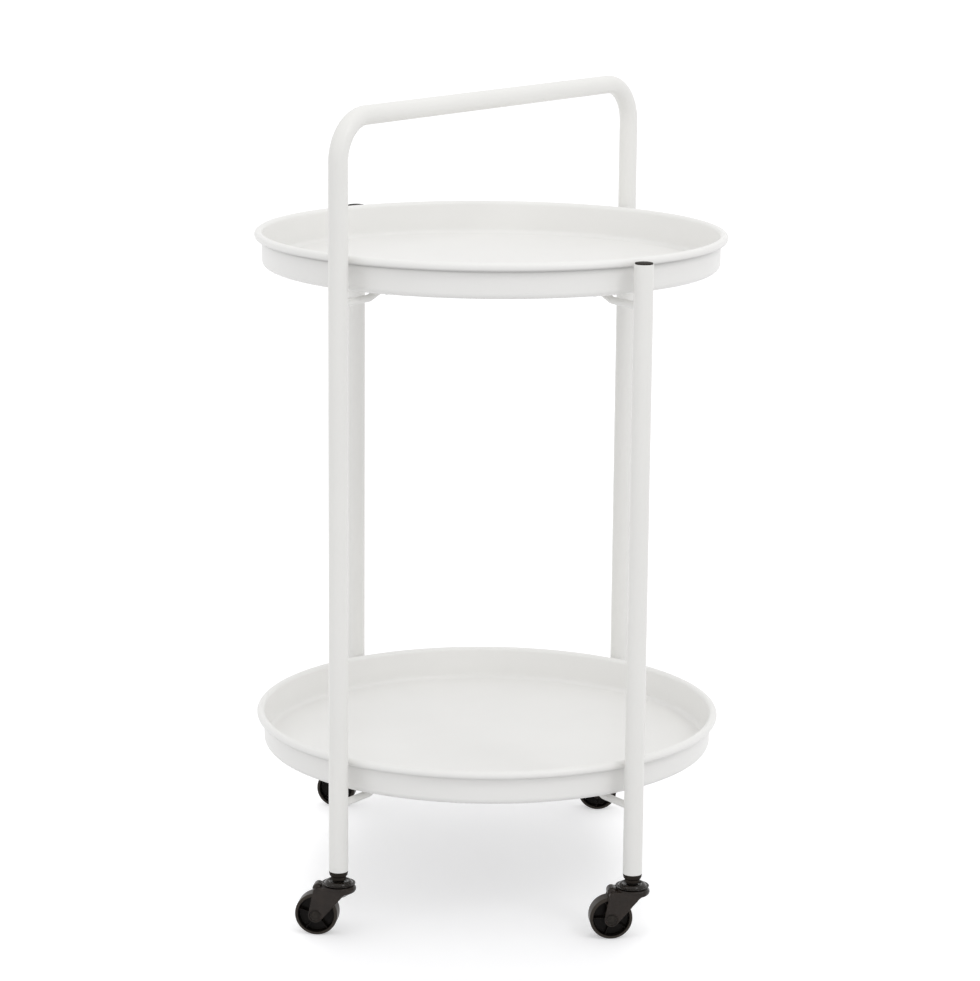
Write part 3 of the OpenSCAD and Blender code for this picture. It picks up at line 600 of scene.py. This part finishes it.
def nutSkin(s):
    # Radius at turn a: the flats' distance / cos(a off the middle of the nearest flat), and at both ends
    # no more than a cone's. The bore widens evenly at its ends.
    a = np.linspace(0, 2 * np.pi, s["nutAround"], endpoint=False)[None, :]
    apothem = s["nut"] * math.cos(math.pi / 6)
    flat = apothem / np.cos((a % (np.pi / 3)) - np.pi / 6)
    low = np.array(s["nutRows"])
    z = np.concatenate([low, [s["nutHigh"] / 2], s["nutHigh"] - low[::-1]])[:, None]
    fromEnd = np.minimum(z, s["nutHigh"] - z)
    outer = np.minimum(flat, apothem - s["bevel"] + s["bevelSlope"] * fromEnd)
    bore = s["stud"] + s["boreGap"] + np.clip(s["boreBevel"] - fromEnd, 0, None)
    radius = np.vstack([outer, (bore + 0 * a)[::-1]])
    height = np.vstack([z, z[::-1]]) - s["nutHigh"]
    return skin(np.stack([radius * np.cos(a), radius * np.sin(a), height + 0 * a], -1), ring=True)


def buildBolts(s):
    # Four of each stand near the rim. The fifth stands at the crossing, under two rods' eyes.
    t, bore = s["washerThick"], s["stud"] + s["boreGap"]
    section = [(bore, 0), (s["washer"], 0), (s["washer"], -t), (bore, -t)]
    washer = skin(lathe(roundLoop(section, s["rounding"], steps=4), s["washerAround"]), ring=True)
    nut = nutSkin(s)
    long = s["eye"] + t + s["nutHigh"] + s["end"]
    kinds = [("_tray_studs", studSkin(long, s), studSkin(long + s["eye"], s), 0.0, 0.0),
             ("_tray_washers", washer, washer, s["eye"], 2 * s["eye"]),
             ("_tray_nuts", nut, nut, s["eye"] + t, 2 * s["eye"] + t)]
    spots = [(h, s["circle"] * side) for h in (cart["diagonal"], -cart["diagonal"]) for side in (1, -1)]
    for tray, height in cart["trays"].items():
        for name, outerShell, middleShell, drop, middleDrop in kinds:
            made = []
            for heading, out in spots:
                at = math.radians(heading)
                shift = (out * math.cos(at), out * math.sin(at), height - drop)
                made.append(moved(outerShell, heading, shift))
            made.append(moved(middleShell, 0, (0, 0, height - middleDrop)))
            addPiece(tray + name, made, zincPlate)


buildTubes(tubeLook)
buildCaps(capLook)
buildWelds(weldLook)
buildTrays(trayLook)
buildRods(rodLook)
buildBolts(boltLook)
print("frame, trays and rods built")


casterAxle = {"ahead": -20.0, "up": 20.0, "lay": "side"}


def atCaster(shell, place, ahead=0.0, up=0.0, lay=None):
    # A shape of the caster's own frame, x away from its wheel, is put under its leg and turned about
    # the swivel
    sideX, sideY, turn = casterPlaces[place]
    laid = moved(shell, 0, (ahead, 0, up), lay)
    angle, out = math.radians(90 - cart["diagonal"]), cart["legCircle"]
    return moved(laid, turn, (sideX * out * math.sin(angle), sideY * out * math.cos(angle), 0))


socketLook = {"low": 8.2, "neck": 7.1, "neckLow": 52.9, "neckHigh": 57.1, "waist": 1.0,
              "waistHigh": 0.9, "slope": 0.2, "collarEdge": 0.35, "plug": 7.75, "top": 89.1,
              "hole": 4.05, "holeTop": 86.1, "groove": 4.65, "grooveLow": 74.9, "grooveHigh": 77.3,
              "rounding": [0.2, 0.15, 0.15, 0.15, 0.15, 0.3, 0.8, 0.2,
                           0.08, 0.1, 0.5, 0.3, 0.1, 0.15, 0.8], "sides": 72}


def socketSkin(s):
    # Profile from the hole's top down its wall, round the neck and collar, and up the plug in the tube
    tube, low, neckTop = cart["tube"], cart["legBottom"], s["neckHigh"]
    waist, waistLow = s["neck"] - s["waist"], s["neckHigh"] - s["waistHigh"]
    profile = roundCorners([
        (0, s["holeTop"]), (s["hole"], s["holeTop"]),
        (s["hole"], s["grooveHigh"]), (s["groove"], s["grooveHigh"]),
        (s["groove"], s["grooveLow"]), (s["hole"], s["grooveLow"]),
        (s["hole"], s["neckLow"]), (s["neck"], s["neckLow"]),
        (s["neck"], waistLow - s["slope"]), (waist, waistLow),
        (waist, neckTop), (s["low"], neckTop),
        (tube, low - s["collarEdge"]), (tube, low),
        (s["plug"], low), (s["plug"], s["top"]), (0, s["top"])], s["rounding"], steps=4)
    return skin(lathe(profile, s["sides"]))


stemLook = {"head": 5.0, "headLow": 43.4, "headHigh": 45.6, "dome": 1.6, "domeHigh": 1.1, "pin": 3.0,
            "shoulder": 5.5, "shoulderLow": 50.6, "shoulderHigh": 52.1, "shank": 4.0, "top": 83.1,
            "ring": 4.6, "ringLow": 75.5, "ringHigh": 76.7,
            "rounding": [0.8, 0.7, 0.3, 0.15, 0.15, 0.35, 0.45, 0.2, 0.15, 0.25, 0.25, 0.15, 0.9],
            "sides": 56}


def stemSkin(s):
    # Profile from the riveted head up the pin, the shoulder and the shank with its grip ring
    profile = roundCorners([
        (0, s["headLow"]), (s["head"] - s["dome"], s["headLow"]),
        (s["head"], s["headLow"] + s["domeHigh"]), (s["head"], s["headHigh"]),
        (s["pin"], s["headHigh"]),
        (s["pin"], s["shoulderLow"]), (s["shoulder"], s["shoulderLow"]),
        (s["shoulder"], s["shoulderHigh"]), (s["shank"], s["shoulderHigh"]),
        (s["shank"], s["ringLow"]), (s["ring"], s["ringLow"]),
        (s["ring"], s["ringHigh"]), (s["shank"], s["ringHigh"]),
        (s["shank"], s["top"]), (0, s["top"])], s["rounding"], steps=4)
    return skin(lathe(profile, s["sides"]))


cupLook = {"bore": 3.02, "hub": 49.2, "hubOut": 6.8, "thick": 1.4, "circle": 10.0, "groove": 1.62,
           "raisedFrom": 8.0, "raisedTo": 24.0, "arcSteps": 22, "low": 48.4, "stepIn": 6.9,
           "stepOut": 7.4, "dishIn": 13.5, "dishEnd": 0.3, "edge": 15.7, "rim": 0.55, "rimSteps": 11,
           "rounding": {"hub": 0.15, "dish": 0.5, "step": 0.12}, "sides": 128}


def cupSkin(s):
    # Profile once round the pressed cup: hub, the ring raised over the balls, the dish, its rolled edge,
    # and back underneath with the round groove that the balls run in. The angles where the arcs meet
    # the level parts are arcsin(height off the arc's middle / radius).
    bore, hub, low, ball = s["bore"], s["hub"], s["low"], (s["circle"], s["hub"])
    top, over, big = hub + s["thick"], low + s["thick"], s["groove"] + s["thick"]
    lip = s["rim"] / 2
    lipIn = s["edge"] - lip
    rise = math.degrees(math.asin(s["thick"] / big))
    dip = math.degrees(math.asin((low - hub) / s["groove"]))
    hubTop = [(bore + 0.1, top - 0.4), (bore + 0.3, top), (s["hubOut"], top)]
    dishTop = [(s["dishIn"] - 0.45, over + 0.25), (s["dishIn"], over), (lipIn - s["dishEnd"], over)]
    stepUnder = [(s["stepOut"], low), (s["stepOut"] - 0.35, low + 0.1), (s["stepIn"], hub),
                 (bore + 0.2, hub), (bore, hub + 0.25)]
    profile = np.vstack([
        roundCorners(hubTop, s["rounding"]["hub"], steps=3),
        arcOf(ball, big, 180 - rise - s["raisedFrom"], s["raisedTo"], s["arcSteps"]),
        roundCorners(dishTop, s["rounding"]["dish"], steps=4),
        arcOf((lipIn, over - lip), lip, 90, -90, s["rimSteps"]),
        [(s["dishIn"] - 0.5, low)],
        arcOf(ball, s["groove"], dip, 180 - dip, s["arcSteps"]),
        roundCorners(stepUnder, s["rounding"]["step"], steps=3)])
    return skin(lathe(profile, s["sides"]), ring=True)


axleLook = {"pin": 2.5, "head": 4.2, "inner": 10.2, "outer": 11.1, "dome": 1.9, "domeHigh": 0.45,
            "rounding": [0.8, 0.3, 0.2, 0.15, 0.15, 0.2, 0.3, 0.8], "sides": 48}


def axleSkin(s):
    # Profile of the rivet from one domed head along the pin to the other
    half = [(s["pin"], s["inner"]), (s["head"], s["inner"]), (s["head"], s["outer"] - s["domeHigh"]),
            (s["head"] - s["dome"], s["outer"]), (0, s["outer"])]
    corners = [(r, -z) for r, z in half[::-1]] + half
    return skin(lathe(roundCorners(corners, s["rounding"], steps=5), s["sides"]))


wheelLook = {"radius": 20.0, "half": 8.5, "edge": 2.0, "rimIn": 16.7, "web": 2.5, "hub": 6.0,
             "hubHalf": 8.7, "bore": 2.55, "rounding": [0.25, 0.6, 0.9, 0.9, 0.5], "draft": 0.35,
             "fade": 0.3, "sides": 144,
             "ribs": 5, "ribHalf": 0.6, "ribDeep": 7.0, "ribDraft": 0.12, "ribInHub": 1.2,
             "ribInRim": 1.0, "ribRows": 12, "ribAround": 40, "deepPower": 0.28, "thickPower": 0.35,
             "rolled": {"front_left": 20.0, "front_right": 36.0, "rear_left": 11.0, "rear_right": 52.0}}


def wheelShells(rolled, s):
    # The body's profile goes once round: hub end, web, rim with rounded tread edges, and the same back
    # on the other side. A rib is a bar from hub to rim. Its section is a squared oval, (|cos|, |sin|) to
    # small powers, and its half thickness grows evenly from both faces to the web.
    half, d = s["half"], s["draft"]
    side = [(s["bore"], s["hubHalf"]), (s["hub"] - d, s["hubHalf"]), (s["hub"] + d, s["web"]),
            (s["rimIn"] - d, s["web"]), (s["rimIn"] + d, half), (s["radius"], half)]
    corners = side + [(r, -z) for r, z in side[::-1]]
    rounding = s["rounding"] + [s["edge"]]
    profile = roundLoop(corners, rounding + rounding[::-1], steps=7)
    shells = [skin(lathe(profile, s["sides"]), ring=True)]
    reach = np.linspace(s["hub"] - s["ribInHub"], s["rimIn"] + s["ribInRim"], s["ribRows"])[:, None]
    angle = np.linspace(0, 2 * np.pi, s["ribAround"], endpoint=False)[None, :]
    deep = s["ribDeep"] * np.sign(np.sin(angle)) * np.abs(np.sin(angle)) ** s["deepPower"]
    thick = s["ribHalf"] + s["ribDraft"] * (1 - np.abs(deep) / s["ribDeep"])
    thick = thick * np.sign(np.cos(angle)) * np.abs(np.cos(angle)) ** s["thickPower"]
    rib = closedSkin(np.stack([reach + 0 * angle, thick + 0 * reach, deep + 0 * reach], -1))
    return shells + [moved(rib, rolled + k * 360 / s["ribs"]) for k in range(s["ribs"])]


def markOpenFaces(wheel, shells, s):
    # The amount is (distance off the axle - the rim faces' inner edge) / fade, kept between 0 and 1, so
    # it is 1 on the tread and on most of the rim's two faces. Where it is 0, in the web, the darker near
    # blacks paint the shade of its recess.
    points = np.vstack([shell[0] for shell in shells])
    past = np.hypot(points[:, 0], points[:, 1]) - s["rimIn"] - s["draft"]
    markPoints(wheel, "open face", np.clip(past / s["fade"], 0, 1))


forkLook = {"merge": 0.000002, "voxel": 0.00045, "smooth": 6, "factor": 0.5}


def buildFork(place, s):
    # A merged copy of the solid is cut into even small faces and relaxed, which rounds every edge
    name = place + "_fork"
    solid = bpy.data.objects.new(name + "_start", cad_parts[name].data.copy())
    bpy.context.scene.collection.objects.link(solid)
    weld = solid.modifiers.new("weld", "WELD")
    weld.merge_threshold = s["merge"]
    remesh = solid.modifiers.new("even faces", "REMESH")
    remesh.mode, remesh.voxel_size, remesh.use_smooth_shade = "VOXEL", s["voxel"], True
    relax = solid.modifiers.new("relax", "SMOOTH")
    relax.factor, relax.iterations = s["factor"], s["smooth"]
    mesh = bpy.data.meshes.new_from_object(solid.evaluated_get(bpy.context.evaluated_depsgraph_get()))
    bpy.data.objects.remove(solid)
    finishPiece(name, mesh, forkBlack, place + "_swivel", (name,))


def buildCasters():
    # Socket, stem and cup stay with the leg, fork and axle turn with the swivel, and the wheel rolls
    socket, stem, cup = socketSkin(socketLook), stemSkin(stemLook), cupSkin(cupLook)
    axle = axleSkin(axleLook)
    for place in casterPlaces:
        addPiece(place + "_socket", [atCaster(socket, place)], capBlack)
        addPiece(place + "_stem", [atCaster(stem, place)], blackSteel)
        addPiece(place + "_race_cup", [atCaster(cup, place)], cupLacquer)
        laid = atCaster(axle, place, **casterAxle)
        addPiece(place + "_axle", [laid], blackSteel, place + "_swivel")
        shells = wheelShells(wheelLook["rolled"][place], wheelLook)
        placed = [atCaster(shell, place, **casterAxle) for shell in shells]
        wheel = addPiece(place + "_wheel", placed, wheelBlack, place + "_roller")
        markOpenFaces(wheel, shells, wheelLook)
        buildFork(place, forkLook)
        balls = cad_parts[place + "_balls"]
        balls.data.materials.clear()
        balls.data.materials.append(ballSteel)


buildCasters()
print("casters built")


# lift is the floor's glow in the oval of painted shade under the cart, outerLift the glow outside it
stageLook = {"floor": 30.0, "floorColour": (0.74, 0.74, 0.75), "lift": 0.35, "outerLift": 0.55,
             "middle": (-0.01, -0.20), "halfWide": 0.20, "halfDeep": 0.85, "start": 0.6, "world": 0.88}


def calculated(tree, kind, operation, *values):
    # A calculating node. Its inputs are other nodes' outputs, or numbers.
    node = tree.nodes.new(kind)
    node.operation = operation
    for socket, value in zip(node.inputs, values):
        if isinstance(value, bpy.types.NodeSocket):
            tree.links.new(value, socket)
        else:
            socket.default_value = value
    return node


def seenDirectly(tree, strength, otherwise=0.0):
    # The strength for camera, glossy and transmission rays, and the other value for the rest
    rays = tree.nodes.new("ShaderNodeLightPath")
    total = rays.outputs["Is Camera Ray"]
    for kind in ("Is Glossy Ray", "Is Transmission Ray"):
        total = calculated(tree, "ShaderNodeMath", "MAXIMUM", total, rays.outputs[kind]).outputs[0]
    scaled = rangeNode(tree, 0.0, 1.0, otherwise, strength)
    tree.links.new(total, scaled.inputs["Value"])
    return scaled.outputs["Result"]


def buildStage(s):
    # One large floor. Seen by the camera or in a reflection it gains a white glow, which clips it to
    # white, and less of it within an oval under the cart. That oval is painted shade: it lets the shadow
    # that the lamps cast show, darkens the floor under the cart and gives the shadow its shape. The gain
    # rises with the length of ((x - middle) / half width, (y - middle) / half depth), from the start up
    # to 1.
    side = s["floor"]
    mesh = bpy.data.meshes.new("floor")
    corners = [(-side, -side, 0), (side, -side, 0), (side, side, 0), (-side, side, 0)]
    mesh.from_pydata(corners, [], [(0, 1, 2, 3)])
    floor = bpy.data.objects.new("floor", mesh)
    bpy.context.scene.collection.objects.link(floor)
    material = bpy.data.materials.new("studio floor")
    material.use_nodes = True
    tree = material.node_tree
    tree.nodes.clear()
    out = tree.nodes.new("ShaderNodeOutputMaterial")
    paint = tree.nodes.new("ShaderNodeBsdfDiffuse")
    paint.inputs["Color"].default_value = (*s["floorColour"], 1)
    glow = tree.nodes.new("ShaderNodeEmission")
    glow.inputs["Color"].default_value = (1, 1, 1, 1)
    both = tree.nodes.new("ShaderNodeAddShader")
    place = tree.nodes.new("ShaderNodeTexCoord").outputs["Object"]
    centred = calculated(tree, "ShaderNodeVectorMath", "SUBTRACT", place, (*s["middle"], 0))
    oval = (s["halfWide"], s["halfDeep"], 1)
    shrunk = calculated(tree, "ShaderNodeVectorMath", "DIVIDE", centred.outputs[0], oval)
    reach = calculated(tree, "ShaderNodeVectorMath", "LENGTH", shrunk.outputs[0])
    rise = rangeNode(tree, s["start"], 1.0, s["lift"], s["outerLift"])
    rise.interpolation_type = "SMOOTHSTEP"
    tree.links.new(reach.outputs["Value"], rise.inputs["Value"])
    gain, seen = rise.outputs["Result"], seenDirectly(tree, 1.0)
    strength = calculated(tree, "ShaderNodeMath", "MULTIPLY", gain, seen)
    tree.links.new(strength.outputs[0], glow.inputs["Strength"])
    tree.links.new(paint.outputs[0], both.inputs[0])
    tree.links.new(glow.outputs[0], both.inputs[1])
    tree.links.new(both.outputs[0], out.inputs["Surface"])
    mesh.materials.append(material)


def buildWorld(s):
    # A white that the camera and reflections see at strength 1, and that lights the cart a little less
    world = bpy.data.worlds.new("studio")
    bpy.context.scene.world = world
    world.use_nodes = True
    back = world.node_tree.nodes["Background"]
    back.inputs["Color"].default_value = (1, 1, 1, 1)
    world.node_tree.links.new(seenDirectly(world.node_tree, 1.0, s["world"]), back.inputs["Strength"])


lampLook = {
    "overhead": {"place": (0.2, -0.2, 3.2), "aim": (0, 0, 0.3), "size": (1.6, 1.6), "watts": 3},
    "left": {"place": (-2.2, -1.7, 2.3), "aim": (0, 0, 0.35), "size": (0.8, 1.0), "watts": 3},
    "right": {"place": (1.9, -2.0, 2.9), "aim": (0, 0, 0.35), "size": (0.8, 1.0), "watts": 14},
}


def buildLamps(lamps):
    for name, s in lamps.items():
        data = bpy.data.lights.new(name, "AREA")
        data.shape, data.size, data.size_y, data.energy = "RECTANGLE", *s["size"], s["watts"]
        lamp = bpy.data.objects.new(name, data)
        bpy.context.scene.collection.objects.link(lamp)
        back = unit(np.subtract(s["place"], s["aim"]))
        steep = abs(back[2]) >= 0.99  # it looks nearly straight down
        right = unit(np.cross((0, 1.0, 0) if steep else (0, 0, 1.0), back))
        lamp.matrix_world = turnedAndPlaced(right, np.cross(back, right), back, s["place"])


buildStage(stageLook)
buildWorld(stageLook)
buildLamps(lampLook)
bpy.context.scene.view_settings.view_transform = "Standard"
print("stage lit")
